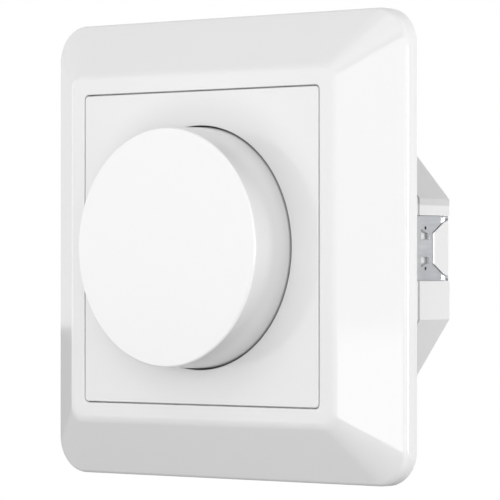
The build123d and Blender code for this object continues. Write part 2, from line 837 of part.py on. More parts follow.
# Push switch case: a cup between potentiometer and board
with BuildPart() as switch_case:
    with BuildSketch(at_depth(pot_rear)):
        RectangleRounded(switch_size, switch_size, switch_wall)
    extrude(amount=-(board_depth - pot_rear))
    with BuildSketch(at_depth(collar_front)):
        Rectangle(switch_size - 2 * switch_wall, switch_size - 2 * switch_wall)
    extrude(amount=-board_depth, mode=Mode.SUBTRACT)
    with BuildSketch(at_depth(pot_rear)):
        Circle(plunger_r + plunger_gap)
    extrude(amount=-switch_wall, mode=Mode.SUBTRACT)
switch_case.part.label = "switch_case"
export_step(switch_case.part, "parts/switch_case.step")

# Plunger: pushed by the spindle's end, stopped by its collar, with a stem that guides the spring
with BuildPart() as switch_plunger:
    with BuildSketch(SECTION):
        Polygon(
            (0, -spindle_end),
            (plunger_r, -spindle_end),
            (plunger_r, -collar_front),
            (plunger_collar_r, -collar_front),
            (plunger_collar_r, -collar_back),
            (plunger_stem_r, -collar_back),
            (plunger_stem_r, -stem_back),
            (0, -stem_back),
            align=None,
        )
    revolve(axis=Axis.Y)
switch_plunger.part.label = "switch_plunger"
export_step(switch_plunger.part, "parts/switch_plunger.step")

# Contact bridge behind the collar
bridge_back = collar_back + bridge_thickness
with BuildPart() as contact_bridge:
    with BuildSketch(at_depth(collar_back)):
        SlotOverall(bridge_length, bridge_width)
        Circle(plunger_stem_r + contact_width / 4)
        Circle(plunger_stem_r, mode=Mode.SUBTRACT)
    extrude(amount=-bridge_thickness)
contact_bridge.part.label = "contact_bridge"
export_step(contact_bridge.part, "parts/contact_bridge.step")

# Fixed contacts on the board, which the bridge joins when the knob is pushed in
contact_front = bridge_back + push_travel + wiper_gap
with BuildPart() as fixed_contacts:
    with BuildSketch(at_depth(contact_front)):
        with Locations((-contact_spacing / 2, 0), (contact_spacing / 2, 0)):
            Rectangle(contact_width, bridge_width)
    extrude(amount=-(board_depth - contact_front))
fixed_contacts.part.label = "fixed_contacts"
export_step(fixed_contacts.part, "parts/fixed_contacts.step")

# Return spring between bridge and board
spring_start = bridge_back + spring_wire_r
spring_length = board_depth - bridge_back - 2 * spring_wire_r
with BuildPart() as switch_spring:
    with BuildLine() as coil:
        Helix(
            pitch=spring_pitch,
            height=spring_length,
            radius=spring_coil_r,
            center=(0, spring_start, 0),
            direction=(0, 1, 0),
        )
    with BuildSketch(Plane(origin=coil.line @ 0, z_dir=coil.line % 0)):
        Circle(spring_wire_r)
    sweep(is_frenet=True)
switch_spring.part.label = "switch_spring"
export_step(switch_spring.part, "parts/switch_spring.step")

# Choke: a ferrite ring lying on the back of the board, with its winding
winding_r = (choke_r + choke_bore_r) / 2
winding_span = choke_r - choke_bore_r
core_height = choke_height - 2 * winding_wire
with BuildPart() as choke_core:
    with BuildSketch(at_depth(board_back + winding_wire)):
        with Locations(choke_place):
            Circle(choke_r - winding_wire)
            Circle(choke_bore_r + winding_wire, mode=Mode.SUBTRACT)
    extrude(amount=-core_height)
choke_core.part.label = "choke_core"
export_step(choke_core.part, "parts/choke_core.step")

with BuildPart() as choke_winding:
    with BuildSketch(at_depth(board_back)):
        with Locations(choke_place):
            with PolarLocations(winding_r, winding_turns):
                Rectangle(winding_span, winding_wire)
    extrude(amount=-choke_height)
    with BuildSketch(at_depth(board_back + winding_wire)):
        with Locations(choke_place):
            Circle(choke_r - winding_wire)
            Circle(choke_bore_r + winding_wire, mode=Mode.SUBTRACT)
    extrude(amount=-core_height, mode=Mode.SUBTRACT)
choke_winding.part.label = "choke_winding"
export_step(choke_winding.part, "parts/choke_winding.step")

# Film capacitor on the front of the board
with BuildPart() as film_capacitor:
    with BuildSketch(at_depth(board_depth - film_size[2])):
        with Locations(film_place):
            RectangleRounded(film_size[0], film_size[1], lead_r)
    extrude(amount=-film_size[2])
film_capacitor.part.label = "film_capacitor"
export_step(film_capacitor.part, "parts/film_capacitor.step")

# Smoothing capacitor: a can with a rolled rim
with BuildPart() as smoothing_capacitor:
    with BuildSketch(at_depth(board_depth - smoothing_height)):
        with Locations(smoothing_place):
            Circle(smoothing_r)
    extrude(amount=-smoothing_height)
    can_rims = smoothing_capacitor.edges().filter_by(GeomType.CIRCLE)
    fillet(can_rims, lead_r)
smoothing_capacitor.part.label = "smoothing_capacitor"
export_step(smoothing_capacitor.part, "parts/smoothing_capacitor.step")

# Heat spreader beside the right wall, standing on the board
with BuildPart() as heat_spreader:
    with BuildSketch(at_depth(board_depth - spreader_size[1])):
        with Locations((spreader_x + spreader_thickness / 2, spreader_z)):
            Rectangle(spreader_thickness, spreader_size[0])
    extrude(amount=-spreader_size[1])
heat_spreader.part.label = "heat_spreader"
export_step(heat_spreader.part, "parts/heat_spreader.step")

# Power transistors, flat against the heat spreader, with their legs in the board
transistor_x = spreader_x - transistor_size[0] / 2
transistor_places = [(transistor_x, spreader_z + side * transistor_offset) for side in (-1, 1)]
with BuildPart() as power_transistors:
    with BuildSketch(at_depth(board_depth - spreader_size[1])):
        with Locations(transistor_places):
            Rectangle(transistor_size[0], transistor_size[1])
    extrude(amount=-transistor_size[2])
    with BuildSketch(at_depth(board_depth - spreader_size[1] + transistor_size[2])):
        with Locations(transistor_places):
            with GridLocations(0, transistor_size[1] / 4, 1, 3):
                Rectangle(transistor_leg, transistor_leg)
    extrude(amount=-(spreader_size[1] - transistor_size[2]))
power_transistors.part.label = "power_transistors"
export_step(power_transistors.part, "parts/power_transistors.step")

# Fuse: a glass tube with a metal cap on each end, lying on the front of the board
fuse_depth = board_depth - fuse_r
fuse_plane = Plane(origin=(0, fuse_depth, fuse_z), x_dir=(0, 1, 0), z_dir=(1, 0, 0))
with BuildPart() as fuse_tube:
    with BuildSketch(fuse_plane):
        Circle(fuse_r - fuse_cap_wall)
    extrude(amount=fuse_length / 2 - fuse_cap_wall, both=True)
fuse_tube.part.label = "fuse_tube"
export_step(fuse_tube.part, "parts/fuse_tube.step")

with BuildPart() as fuse_caps:
    with BuildSketch(fuse_plane):
        Circle(fuse_r)
    extrude(amount=fuse_length / 2, both=True)
    with BuildSketch(fuse_plane):
        Circle(fuse_r - fuse_cap_wall)
    extrude(amount=fuse_length / 2 - fuse_cap_wall, both=True, mode=Mode.SUBTRACT)
    with BuildSketch(fuse_plane):
        Circle(2 * fuse_r)
    extrude(amount=fuse_length / 2 - fuse_cap_length, both=True, mode=Mode.SUBTRACT)
fuse_caps.part.label = "fuse_caps"
export_step(fuse_caps.part, "parts/fuse_caps.step")

# Varistor: a coated disc on two leads
varistor_depth = board_depth - varistor_r - lead_r
with BuildPart() as varistor:
    with BuildSketch(Plane(origin=(varistor_x, varistor_depth, varistor_z), z_dir=(1, 0, 0))):
        Circle(varistor_r)
    extrude(amount=varistor_thickness / 2, both=True)
    with BuildSketch(at_depth(varistor_depth)):
        with Locations((varistor_x, varistor_z)):
            with GridLocations(0, varistor_r, 1, 2):
                Rectangle(2 * lead_r, 2 * lead_r)
    extrude(amount=-(board_depth - varistor_depth))
varistor.part.label = "varistor"
export_step(varistor.part, "parts/varistor.step")

# Control chip on the back of the board
with BuildPart() as control_chip:
    with BuildSketch(at_depth(board_back)):
        with Locations(chip_place):
            Rectangle(chip_size[0], chip_size[1])
    extrude(amount=-chip_size[2], taper=chip_taper)
control_chip.part.label = "control_chip"
export_step(control_chip.part, "parts/control_chip.step")

# Terminal cages behind the board, one for each wire
with BuildPart() as terminal_cages:
    with BuildSketch(at_depth(board_back)):
        with Locations(terminal_places):
            Rectangle(cage_size[0], cage_size[1])
            Rectangle(cage_size[0] - 2 * cage_wall, cage_size[1] - 2 * cage_wall, mode=Mode.SUBTRACT)
    extrude(amount=-cage_size[2])
    with BuildSketch(Plane.XY.offset(screw_z)):
        for place in terminal_places:
            with Locations((place[0], cage_depth)):
                Circle(screw_r)
    extrude(amount=cage_wall, mode=Mode.SUBTRACT)
terminal_cages.part.label = "terminal_cages"
export_step(terminal_cages.part, "parts/terminal_cages.step")

# Terminal screws, reached through the bottom of the rear shell
with BuildPart() as terminal_screws:
    for place in terminal_places:
        with BuildSketch(Plane.XY.offset(screw_z)):
            with Locations((place[0], cage_depth)):
                Circle(screw_head_r)
        extrude(amount=-screw_head)
        with BuildSketch(Plane.XY.offset(screw_z)):
            with Locations((place[0], cage_depth)):
                Circle(screw_r)
        extrude(amount=cage_wall + lead_r)
        with BuildSketch(Plane.XY.offset(screw_z - screw_head)):
            with Locations((place[0], cage_depth)):
                Rectangle(2 * screw_head_r, hub_slot)
        extrude(amount=screw_head / 2, mode=Mode.SUBTRACT)
terminal_screws.part.label = "terminal_screws"
export_step(terminal_screws.part, "parts/terminal_screws.step")
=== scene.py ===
# %% [markdown]
# # A push-and-turn wall dimmer
# The object is a white dimmer for a round wall box: a bevelled square cover frame, a flush centre
# plate, a large round knob, and behind them a moulded housing held by a folded steel bracket. The
# solids of the construction come in as a fixed frame. This lesson gives them their looks. The
# pieces whose roundness shows are modelled again here with far finer steps, in the same place.

import json
import math

import bpy
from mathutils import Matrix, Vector

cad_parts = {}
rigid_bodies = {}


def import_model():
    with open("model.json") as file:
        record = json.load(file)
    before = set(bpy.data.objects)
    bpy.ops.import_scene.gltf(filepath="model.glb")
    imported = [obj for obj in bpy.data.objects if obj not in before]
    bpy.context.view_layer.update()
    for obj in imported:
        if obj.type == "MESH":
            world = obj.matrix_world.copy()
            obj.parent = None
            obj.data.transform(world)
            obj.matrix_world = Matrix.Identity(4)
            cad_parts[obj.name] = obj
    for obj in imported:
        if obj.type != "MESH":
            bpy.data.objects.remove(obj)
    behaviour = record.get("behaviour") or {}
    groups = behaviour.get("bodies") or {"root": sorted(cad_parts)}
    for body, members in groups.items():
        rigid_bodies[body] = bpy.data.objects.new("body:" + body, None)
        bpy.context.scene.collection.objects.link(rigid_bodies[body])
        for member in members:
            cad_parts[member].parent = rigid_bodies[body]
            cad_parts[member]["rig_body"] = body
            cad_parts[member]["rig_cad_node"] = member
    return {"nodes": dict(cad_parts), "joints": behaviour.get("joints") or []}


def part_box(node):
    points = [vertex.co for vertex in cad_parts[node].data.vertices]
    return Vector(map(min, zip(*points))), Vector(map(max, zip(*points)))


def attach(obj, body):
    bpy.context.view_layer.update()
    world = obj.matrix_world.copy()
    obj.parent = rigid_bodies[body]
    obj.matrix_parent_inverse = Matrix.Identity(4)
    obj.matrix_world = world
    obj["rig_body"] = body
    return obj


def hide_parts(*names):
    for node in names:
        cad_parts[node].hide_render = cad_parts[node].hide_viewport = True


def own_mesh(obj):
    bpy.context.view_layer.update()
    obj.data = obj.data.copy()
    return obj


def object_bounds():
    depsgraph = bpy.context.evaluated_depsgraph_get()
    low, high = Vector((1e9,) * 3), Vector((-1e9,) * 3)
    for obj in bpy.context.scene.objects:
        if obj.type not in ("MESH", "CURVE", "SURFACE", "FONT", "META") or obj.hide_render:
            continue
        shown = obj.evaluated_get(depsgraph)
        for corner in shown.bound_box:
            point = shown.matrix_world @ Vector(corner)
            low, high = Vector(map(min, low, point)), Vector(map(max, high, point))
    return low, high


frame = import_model()
nodes = frame["nodes"]
cad_low, cad_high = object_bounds()
MM = 0.001
print("nodes", len(nodes), "box", [round(v / MM, 2) for v in (*cad_low, *cad_high)])

# %% [markdown]
# ## Selecting with care
# Every modelling operator works on what is selected, and a freshly loaded model is selected all
# over. One small function deselects everything, leaves one object active and goes back to object
# mode. All the pieces below start with it.

# %% Take one object in hand
def take(piece=None):
    """Goes to object mode and leaves only this object selected and active."""
    if bpy.context.mode != "OBJECT":
        bpy.ops.object.mode_set(mode="OBJECT")
    bpy.ops.object.select_all(action="DESELECT")
    if piece is not None:
        piece.select_set(True)
        bpy.context.view_layer.objects.active = piece


take()
print("selected", len(bpy.context.selected_objects))

# %% [markdown]
# ## Sizes that the frame gives
# A height is measured from the wall towards the room, so it lies at minus Y, as on the drawing. The
# outer sizes are read from the loaded solids, so that the new pieces follow them. The wall
# thicknesses and edge roundings are the mould maker's choices. Each is named once, in the cell that
# needs it first, and all of them are in millimetres.

# %% Sizes that several pieces share
def span(node, axis):
    """Size of a CAD node along one axis, in millimetres."""
    low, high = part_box(node)
    return (high[axis] - low[axis]) / MM


FRAME_SIZE = span("cover_frame", 0)
FRAME_HEIGHT = -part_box("cover_frame")[0][1] / MM
PLATE_SIZE = span("centre_plate", 0)
KNOB_R = span("knob", 0) / 2
SMALL_ROUND = 0.3
TINY_ROUND = 0.15
print("frame", FRAME_SIZE, FRAME_HEIGHT, "plate", PLATE_SIZE, "knob radius", KNOB_R)

# %% [markdown]
# ## Drawing a moulding's profile
# A moulded shell can be carved from a block with booleans, but those leave untidy edges that shade
# badly. It is cleaner to draw its cross-section as a chain of corners, and to sweep that chain
# round the axis. A corner runs either as a rounded square or as a circle. Where the mould is
# rounded, an edge bevel would have to slide along very slanted edges near the square's corners and
# would fold over. So the rounding is drawn here as part of the profile: the corner is exchanged for
# the points of an arc, one for about every nine degrees.

# %% Profile corners
def square(size, height, corner, rounding=0.0):
    """Profile corner that runs as a square of this side, with this radius at its four corners."""
    place = Vector((size / 2, height))
    return {"shape": "square", "at": place, "corner": corner, "rounding": rounding}


def circle(radius, height, rounding=0.0):
    """Profile corner that runs as a circle."""
    place = Vector((radius, height))
    return {"shape": "circle", "at": place, "corner": radius, "rounding": rounding}


def corner_beside(here, other, towards, distance):
    """Corner radius of the square at this distance from a profile corner, towards its neighbour."""
    if other["shape"] != here["shape"]:
        return here["corner"] + towards.x * distance
    share = distance / (other["at"] - here["at"]).length
    return here["corner"] + (other["corner"] - here["corner"]) * share


# %% Rounding a profile
ARC_STEP = 9.0
FEWEST_ARC_STEPS = 2


def arc_points(before, here, after):
    """The points of the arc that rounds a profile corner, from one tangent point to the other."""
    back = (before["at"] - here["at"]).normalized()
    ahead = (after["at"] - here["at"]).normalized()
    opening = back.angle(ahead)
    reach = here["rounding"] / math.tan(opening / 2)
    centre = here["at"] + (back + ahead).normalized() * (here["rounding"] / math.sin(opening / 2))
    first = here["at"] + back * reach - centre
    last = here["at"] + ahead * reach - centre
    swing = math.pi - opening
    steps = max(FEWEST_ARC_STEPS, round(math.degrees(swing) / ARC_STEP))
    corner_first = corner_beside(here, before, back, reach)
    corner_last = corner_beside(here, after, ahead, reach)
    points = []
    for step in range(steps + 1):
        part = step / steps
        place = centre + (
            first * math.sin((1 - part) * swing) + last * math.sin(part * swing)
        ) / math.sin(swing)
        corner = (
            (1 - part) ** 2 * corner_first
            + 2 * part * (1 - part) * here["corner"]
            + part**2 * corner_last
        )
        points.append({"shape": here["shape"], "at": place, "corner": corner})
    return points


def rounded_profile(corners):
    """The whole chain with its roundings drawn as arcs."""
    chain = []
    for number, here in enumerate(corners):
        if here["rounding"] > 0:
            chain += arc_points(corners[number - 1], here, corners[(number + 1) % len(corners)])
        else:
            chain.append(here)
    return chain


sample = rounded_profile([circle(2, 0), circle(2, 1, 0.5), circle(0.5, 1)])
print("three corners, one of them rounded, give", len(sample), "points")

# %% [markdown]
# ## Lofting the profile
# Every point of the profile becomes a loop: a plane primitive whose corners are rounded by a vertex
# bevel, or a circle primitive. All loops have the same number of points, so that even a square
# bridges well to a circle. Each is kept in a vertex group, picked by name, and bridged to the next.
# Two loops in one plane, or in almost one plane, give the bridge no direction to follow. It may
# join them crosswise and leave faces across the opening, so the second one is lifted while they are
# joined and put back afterwards.

# %% Loops
FACING_ROOM = (math.radians(90), 0, 0)
ROUND_STEPS = 192
CORNER_STEPS = ROUND_STEPS // 4 - 1


def make_loop(point, name):
    """A closed chain of edges parallel to the wall, its points in a vertex group of this name."""
    take()
    reach, height = point["at"]
    place = (0, -height * MM, 0)
    if point["shape"] == "square":
        bpy.ops.mesh.primitive_plane_add(size=2 * reach * MM, location=place, rotation=FACING_ROOM)
    else:
        bpy.ops.mesh.primitive_circle_add(
            vertices=ROUND_STEPS, radius=reach * MM, location=place, rotation=FACING_ROOM
        )
    loop = bpy.context.object
    bpy.ops.object.transform_apply(location=True, rotation=True, scale=True)
    bpy.ops.object.mode_set(mode="EDIT")
    bpy.ops.mesh.select_all(action="SELECT")
    if point["shape"] == "square":
        bpy.ops.mesh.bevel(
            offset=point["corner"] * MM, segments=CORNER_STEPS, profile=0.5, affect="VERTICES"
        )
        bpy.ops.mesh.delete(type="ONLY_FACE")
    else:
        to_square = math.radians(45 + 180 / ROUND_STEPS)
        bpy.ops.transform.rotate(value=to_square, orient_axis="Y", center_override=(0, 0, 0))
    bpy.ops.object.mode_set(mode="OBJECT")
    loop.vertex_groups.new(name=name).add(range(len(loop.data.vertices)), 1.0, "REPLACE")
    return loop


def pick(piece, *names):
    """In edit mode, selects just the loops with these names."""
    bpy.ops.mesh.select_all(action="DESELECT")
    for name in names:
        piece.vertex_groups.active_index = piece.vertex_groups[name].index
        bpy.ops.object.vertex_group_select()


print("points in each loop", ROUND_STEPS)

# %% Merging and shading
MERGE_DISTANCE = 0.001
CREASE_ANGLE = math.radians(35)


def settle(piece):
    """Merges, turns the faces outwards, and shades smooth with the flat faces kept flat."""
    if bpy.context.mode != "EDIT_MESH":
        bpy.ops.object.mode_set(mode="EDIT")
    bpy.ops.mesh.select_all(action="SELECT")
    bpy.ops.mesh.remove_doubles(threshold=MERGE_DISTANCE * MM)
    bpy.ops.mesh.normals_make_consistent(inside=False)
    take(piece)
    bpy.ops.object.shade_smooth_by_angle(angle=CREASE_ANGLE)
    weigh = piece.modifiers.new("Weigh", "WEIGHTED_NORMAL")
    weigh.keep_sharp = True
    bpy.ops.object.modifier_apply(modifier=weigh.name)
    piece.vertex_groups.clear()
    size = [round(v / MM, 2) for v in piece.dimensions]
    print(piece.name, "faces", len(piece.data.polygons), "size mm", size)


# %% Bridging the loops
FLAT_STEP = 0.01
PLANE_LIFT = 2.0


def loft(name, corners, closed):
    """A moulding from its profile. A closed chain meets its start, an open one gets flat caps."""
    chain = rounded_profile(corners)
    names = [f"loop {number}" for number in range(len(chain))]
    loops = [make_loop(point, label) for point, label in zip(chain, names)]
    take(loops[0])
    for loop in loops:
        loop.select_set(True)
    bpy.ops.object.join()
    piece = bpy.context.object
    piece.name = name
    piece.data.name = name
    bpy.ops.object.mode_set(mode="EDIT")
    for number in range(len(chain) if closed else len(chain) - 1):
        following = (number + 1) % len(chain)
        step_up = abs(chain[number]["at"].y - chain[following]["at"].y)
        lift = PLANE_LIFT * MM if step_up < FLAT_STEP else 0
        pick(piece, names[following])
        bpy.ops.transform.translate(value=(0, lift, 0))
        pick(piece, names[number], names[following])
        bpy.ops.mesh.bridge_edge_loops()
        pick(piece, names[following])
        bpy.ops.transform.translate(value=(0, -lift, 0))
    if not closed:
        for end in (names[0], names[-1]):
            pick(piece, end)
            bpy.ops.mesh.edge_face_add()
    settle(piece)
    return piece


# %% [markdown]
# ## Cover frame
# The frame is one injection moulding: a low side wall, a bevel that leans in at about 36 degrees,
# and a flat band round the window. The bevel's corners are cones, because the rim's corner radius
# is much larger than the crease's. A rebate in the window takes the centre plate, and behind it
# runs a lip. The chain goes up the outside, over the band, down the window and back inside the
# wall.

# %% Cover frame shell
FRAME_CORNER = 6.5
EDGE_HEIGHT = 3.0
FRAME_WALL = 2.0
RIM_ROUND = 1.4
CREASE_SIZE = 63.2
CREASE_CORNER = 2.5
CREASE_ROUND = 2.7
PLATE_GAP = 0.25
PLATE_THICKNESS = 2.0
WINDOW_SIZE = PLATE_SIZE + 2 * PLATE_GAP
WINDOW_CORNER = 1.0
LIP_WIDTH = 2.0
LIP_THICKNESS = 1.5
bevel_angle = math.atan2(FRAME_HEIGHT - EDGE_HEIGHT, (FRAME_SIZE - CREASE_SIZE) / 2)
inner_edge = EDGE_HEIGHT - FRAME_WALL * math.tan((math.pi / 2 - bevel_angle) / 2)
inner_crease = CREASE_SIZE - 2 * FRAME_WALL * math.tan(bevel_angle / 2)
inner_size = FRAME_SIZE - 2 * FRAME_WALL
under_band = FRAME_HEIGHT - FRAME_WALL
plate_seat = FRAME_HEIGHT - PLATE_THICKNESS
lip_back = plate_seat - LIP_THICKNESS
lip_opening = WINDOW_SIZE - 2 * LIP_WIDTH
lip_outside = WINDOW_SIZE + 2 * LIP_THICKNESS
cover = loft(
    "cover_frame_moulding",
    [
        square(FRAME_SIZE, 0, FRAME_CORNER, TINY_ROUND),
        square(FRAME_SIZE, EDGE_HEIGHT, FRAME_CORNER, RIM_ROUND),
        square(CREASE_SIZE, FRAME_HEIGHT, CREASE_CORNER, CREASE_ROUND),
        square(WINDOW_SIZE, FRAME_HEIGHT, WINDOW_CORNER, TINY_ROUND),
        square(WINDOW_SIZE, plate_seat, WINDOW_CORNER),
        square(lip_opening, plate_seat, WINDOW_CORNER),
        square(lip_opening, lip_back, WINDOW_CORNER),
        square(lip_outside, lip_back, SMALL_ROUND),
        square(lip_outside, under_band, SMALL_ROUND),
        square(inner_crease, under_band, CREASE_CORNER),
        square(inner_size, inner_edge, FRAME_CORNER - FRAME_WALL),
        square(inner_size, 0, FRAME_CORNER - FRAME_WALL),
    ],
    closed=True,
)

# %% [markdown]
# Behind the bevel, thin ribs keep the frame from bending when the plate is screwed down. One rib is
# a plane primitive that a bisection trims to the inside of the shell, and that an extrusion
# thickens. The others are made the same way, each with its own mesh, turned to the four sides.

# %% Cover frame ribs
RIB_PLACES = (-27.0, -13.5, 13.5, 27.0)
RIB_THICKNESS = 1.2
RIB_HEIGHT = 2.2


def frame_rib(place, side):
    """One rib, cut to the inside of the bevel, at this place along this side of the frame."""
    take()
    low = lip_opening / 2 + LIP_WIDTH
    high = inner_size / 2 + TINY_ROUND
    deep = under_band + TINY_ROUND
    bpy.ops.mesh.primitive_plane_add(size=MM)
    rib = bpy.context.object
    bpy.ops.object.mode_set(mode="EDIT")
    bpy.ops.mesh.select_all(action="SELECT")
    bpy.ops.transform.resize(value=(high - low, deep - RIB_HEIGHT, 1), center_override=(0, 0, 0))
    across = (low + high) / 2
    up = (deep + RIB_HEIGHT) / 2
    along = place - RIB_THICKNESS / 2
    bpy.ops.transform.translate(value=(across * MM, -up * MM, along * MM))
    bpy.ops.mesh.bisect(
        plane_co=(inner_size / 2 * MM, -(inner_edge + TINY_ROUND) * MM, 0),
        plane_no=(math.sin(bevel_angle), -math.cos(bevel_angle), 0),
        clear_outer=True,
    )
    bpy.ops.mesh.select_all(action="SELECT")
    bpy.ops.mesh.extrude_region_move(TRANSFORM_OT_translate={"value": (0, 0, RIB_THICKNESS * MM)})
    bpy.ops.mesh.select_all(action="SELECT")
    bpy.ops.transform.rotate(
        value=math.radians(90 * side), orient_axis="Y", center_override=(0, 0, 0)
    )
    bpy.ops.mesh.normals_make_consistent(inside=False)
    bpy.ops.object.mode_set(mode="OBJECT")
    return rib


ribs = [frame_rib(place, side) for side in range(4) for place in RIB_PLACES]
take(cover)
for rib in ribs:
    rib.select_set(True)
bpy.ops.object.join()
print("ribs", len(ribs), "cover frame faces", len(cover.data.polygons))

# %% [markdown]
# ## Centre plate
# The plate fills the window flush with the band, with a shadow gap of a quarter of a millimetre.
# The knob does not stand on the plate: it dips into a round well, whose floor is clamped at the
# bush. The chain starts at the plate's back edge, goes over the front, down the well and back under
# it.

# %% Centre plate
KNOB_GAP = 0.12
WELL_R = KNOB_R + KNOB_GAP
WELL_WALL = 1.5
WELL_FLOOR = 1.5
WELL_BACK = -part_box("centre_plate")[1][1] / MM
BUSH_HOLE_R = 5.2
skirt_size = lip_opening - 2 * PLATE_GAP
skirt_inside = skirt_size - 2 * RIB_THICKNESS
well_floor_height = WELL_BACK + WELL_FLOOR
plate_corner = WINDOW_CORNER - PLATE_GAP
plate = loft(
    "centre_plate_moulding",
    [
        square(PLATE_SIZE, plate_seat, plate_corner),
        square(PLATE_SIZE, FRAME_HEIGHT, plate_corner, TINY_ROUND),
        circle(WELL_R, FRAME_HEIGHT, TINY_ROUND),
        circle(WELL_R, well_floor_height, SMALL_ROUND),
        circle(BUSH_HOLE_R, well_floor_height),
        circle(BUSH_HOLE_R, WELL_BACK),
        circle(WELL_R + WELL_WALL, WELL_BACK),
        circle(WELL_R + WELL_WALL, plate_seat),
        square(skirt_inside, plate_seat, SMALL_ROUND),
        square(skirt_inside, lip_back, SMALL_ROUND),
        square(skirt_size, lip_back, WINDOW_CORNER),
        square(skirt_size, plate_seat, WINDOW_CORNER),
    ],
    closed=True,
)

# %% [markdown]
# ## Knob
# The knob is a deep cup, a little narrower at its face than at its rim so that it leaves the mould.
# Its face is plain, and a rounding of a third of a millimetre turns it into the side. That rounding
# is what draws the thin light line round the face. Inside, a hub takes the spindle. The chain is
# open here: it starts in the middle of the face and ends in the bottom of the hub's bore.

# %% Knob
KNOB_FRONT = -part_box("knob")[0][1] / MM
KNOB_BACK = -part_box("knob")[1][1] / MM
KNOB_DRAFT = 2.5
KNOB_WALL = 1.8
KNOB_ROUND = 0.35
HUB_WALL = 2.0
HUB_BACK = -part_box("knob_spring_ring")[1][1] / MM
SPINDLE_R = span("spindle", 0) / 2
SPINDLE_FRONT = -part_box("spindle")[0][1] / MM
knob_slope = math.tan(math.radians(KNOB_DRAFT))
knob_face_r = KNOB_R - (KNOB_FRONT - KNOB_BACK) * knob_slope
knob_roof = KNOB_FRONT - KNOB_WALL
knob_roof_r = knob_face_r + KNOB_WALL * knob_slope - KNOB_WALL
hub_r = SPINDLE_R + HUB_WALL
knob = loft(
    "knob_moulding",
    [
        circle(HUB_WALL, KNOB_FRONT),
        circle(knob_face_r, KNOB_FRONT, KNOB_ROUND),
        circle(KNOB_R, KNOB_BACK, SMALL_ROUND),
        circle(KNOB_R - KNOB_WALL, KNOB_BACK, TINY_ROUND),
        circle(knob_roof_r, knob_roof, SMALL_ROUND),
        circle(hub_r, knob_roof, SMALL_ROUND),
        circle(hub_r, HUB_BACK),
        circle(SPINDLE_R, HUB_BACK),
        circle(SPINDLE_R, SPINDLE_FRONT),
    ],
    closed=False,
)

# %% [markdown]
# ## Crisp solids with broken edges
# The housing, the bracket and the support plate have flat walls, and their solids already fit. Real
# mouldings and sheared sheet have no perfectly sharp edge, and it is the narrow rounding that
# catches light. A copy of each solid is merged, its flat faces are joined, and a bevel modifier
# rounds what turns sharply. The rounding takes material away, so the copy stays inside the solid's
# box.

# %% Broken edges on copies of the solids
SOLID_MERGE = 0.002
FLAT_ANGLE = math.radians(1)
SHARP_ANGLE = math.radians(30)
EDGE_STEPS = 2


def merged_copy(node, name):
    """A copy of a CAD solid with a mesh of its own, merged, left in edit mode."""
    take()
    piece = nodes[node].copy()
    piece.data = nodes[node].data.copy()
    piece.name = name
    piece.data.name = name
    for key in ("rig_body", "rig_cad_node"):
        if key in piece:
            del piece[key]
    piece.parent = None
    bpy.context.scene.collection.objects.link(piece)
    take(piece)
    bpy.ops.object.mode_set(mode="EDIT")
    bpy.ops.mesh.select_all(action="SELECT")
    bpy.ops.mesh.remove_doubles(threshold=SOLID_MERGE * MM)
    return piece


def with_broken_edges(node, name, width, change=None):
    """A copy of a CAD solid whose sharp edges are rounded by this width, in millimetres."""
    piece = merged_copy(node, name)
    bpy.ops.mesh.dissolve_limited(angle_limit=FLAT_ANGLE)
    take(piece)
    if change is not None:
        change(piece)
    broken = piece.modifiers.new("Broken edges", "BEVEL")
    broken.width = width * MM
    broken.segments = EDGE_STEPS
    broken.limit_method = "ANGLE"
    broken.angle_limit = SHARP_ANGLE
    broken.use_clamp_overlap = True
    bpy.ops.object.modifier_apply(modifier=broken.name)
    settle(piece)
    return piece


# %% [markdown]
# The rear shell has two catches that hold the bracket's legs. Each solid catch stands 0.6 mm above
# its leg, as a catch has to. On the real object the two look almost level, so the tops of the
# copy's catches are pressed down by most of that. Only their points are selected, by their place.

# %% Housing, bracket and support plate
MOULDED_EDGE = 0.12
BRACKET_EDGE = 0.06
PLATE_EDGE = 0.1
CATCH_START = 26.0
CATCH_RISE = 0.6
CATCH_HALF = 5.5
CATCH_PRESS = 0.45


def press_catches(piece):
    """Lowers the tops of the two catches until they stand only a little above the bracket's leg."""
    leg_points = nodes["retaining_bracket"].data.vertices
    leg_face = max(v.co.x for v in leg_points if v.co.y > CATCH_START * MM)
    tops_from = leg_face + CATCH_RISE / 2 * MM
    for side in (1, -1):
        bpy.ops.object.mode_set(mode="EDIT")
        bpy.ops.mesh.select_all(action="DESELECT")
        bpy.ops.object.mode_set(mode="OBJECT")
        for point in piece.data.vertices:
            x, y, z = point.co
            in_reach = y > CATCH_START * MM and abs(z) < CATCH_HALF * MM
            point.select = in_reach and side * x > tops_from
        bpy.ops.object.mode_set(mode="EDIT")
        bpy.ops.transform.translate(value=(-side * CATCH_PRESS * MM, 0, 0))
        bpy.ops.object.mode_set(mode="OBJECT")


rear_shell = with_broken_edges(
    "housing_rear", "housing_rear_moulding", MOULDED_EDGE, change=press_catches
)
front_shell = with_broken_edges("housing_front", "housing_front_moulding", MOULDED_EDGE)
bracket = with_broken_edges("retaining_bracket", "retaining_bracket_sheet", BRACKET_EDGE)
sheet_plate = with_broken_edges("support_plate", "support_plate_sheet", PLATE_EDGE)

# %% [markdown]
# ## Shader sums
# A finish is mostly arithmetic on a few noises. A small class wraps a socket, so that a sum written
# in Python adds its Math nodes, also with the number first, as in 1 - mask. Every other node comes
# from one method: its type, then its settings, then what goes into its sockets.

